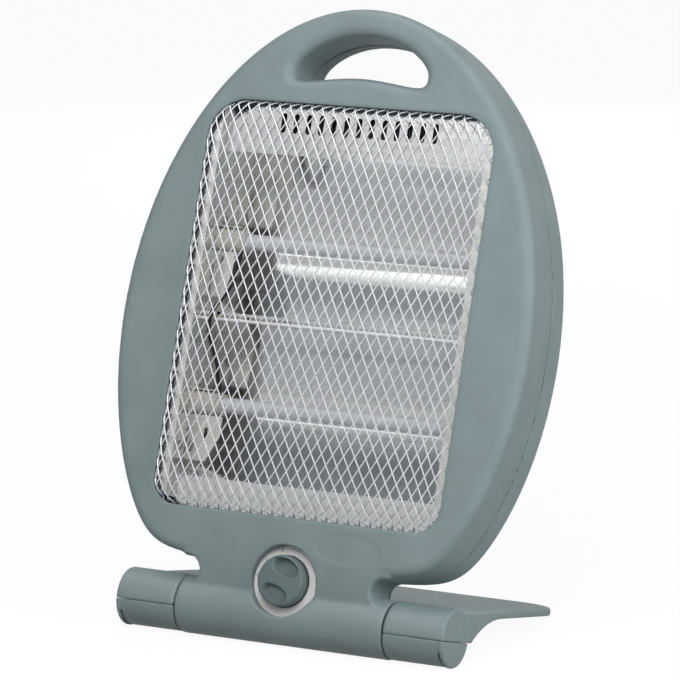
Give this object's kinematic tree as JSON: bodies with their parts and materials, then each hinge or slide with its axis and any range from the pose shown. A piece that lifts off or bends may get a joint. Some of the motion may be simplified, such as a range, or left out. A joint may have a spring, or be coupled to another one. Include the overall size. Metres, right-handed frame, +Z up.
{
  "type": "halogen heater",
  "caption": "Egg-shaped halogen heater with quartz tubes, a carry-hole, a domed wire grille and a rotary switch, leaning on a tilt hinge over a stand with a foot plate.",
  "frame": {"origin": "on the floor, under the middle of the whole object at rest", "axes": "+X across to the viewer's right, -Y to the front, +Z up"},
  "size_m": [0.291, 0.1828, 0.3935],
  "materials": {
    "grey_plastic": "fine satin grain, moulded polypropylene",
    "grey_knob": "satin, slightly darker than the casing",
    "black_plastic": "matt black phenolic",
    "black_rubber": "soft matt",
    "black_sleeve": "woven insulation sleeve, matt",
    "bright_wire": "bright plated steel wire",
    "polished_sheet": "mirror-rolled sheet",
    "zinc_sheet": "zinc-plated sheet, slightly yellow",
    "zinc_screws": "zinc plated",
    "milky_quartz": "frosted, nearly opaque quartz glass",
    "filament_wire": "oxidised resistance wire",
    "ceramic": "unglazed beige ceramic",
    "pale_dial": "pale silver-cream print on a flat ring"
  },
  "bodies": {
    "stand": {"stand_moulding": "grey_plastic", "barrel_cover_left": "grey_plastic", "barrel_cover_right": "grey_plastic", "cover_screws": "zinc_screws", "rubber_feet": "black_rubber", "hinge_bolt_left": "zinc_screws", "hinge_bolt_right": "zinc_screws", "friction_washers": "black_plastic", "wave_washers": "zinc_screws", "hinge_nuts": "zinc_screws"},
    "heater": {"front_casing": "grey_plastic", "back_cover": "grey_plastic", "case_screws": "zinc_screws", "grille_mesh": "bright_wire", "stay_rod": "bright_wire", "reflector": "polished_sheet", "end_plate_left": "zinc_sheet", "end_plate_right": "zinc_sheet", "plate_screws": "zinc_screws", "quartz_tube_upper": "milky_quartz", "quartz_tube_lower": "milky_quartz", "filament_upper": "filament_wire", "filament_lower": "filament_wire", "end_caps_left": "ceramic", "end_caps_right": "ceramic", "tube_brackets_left": "zinc_sheet", "tube_brackets_right": "zinc_sheet", "bracket_screws": "zinc_screws", "link_wire": "black_sleeve", "dial_ring": "pale_dial", "rotary_switch": "black_plastic", "switch_nut": "zinc_screws", "terminal_block": "ceramic", "thermal_cutout": "black_plastic", "tip_over_switch": "black_plastic", "inlet_bush": "black_rubber"},
    "knob": {"knob": "grey_knob", "switch_shaft": "zinc_screws"}
  },
  "joints": [
    {"name": "tilt", "type": "hinge", "parent": "stand", "child": "heater", "pos_m": [0, -0.07262, 0.0184], "axis": [1, 0, 0], "range_deg": [0, 18]},
    {"name": "knob_turn", "type": "hinge", "parent": "heater", "child": "knob", "pos_m": [0, -0.08516, 0.04455], "axis": [0, -0.9511, 0.309], "range_deg": [-68, 0]}
  ]
}
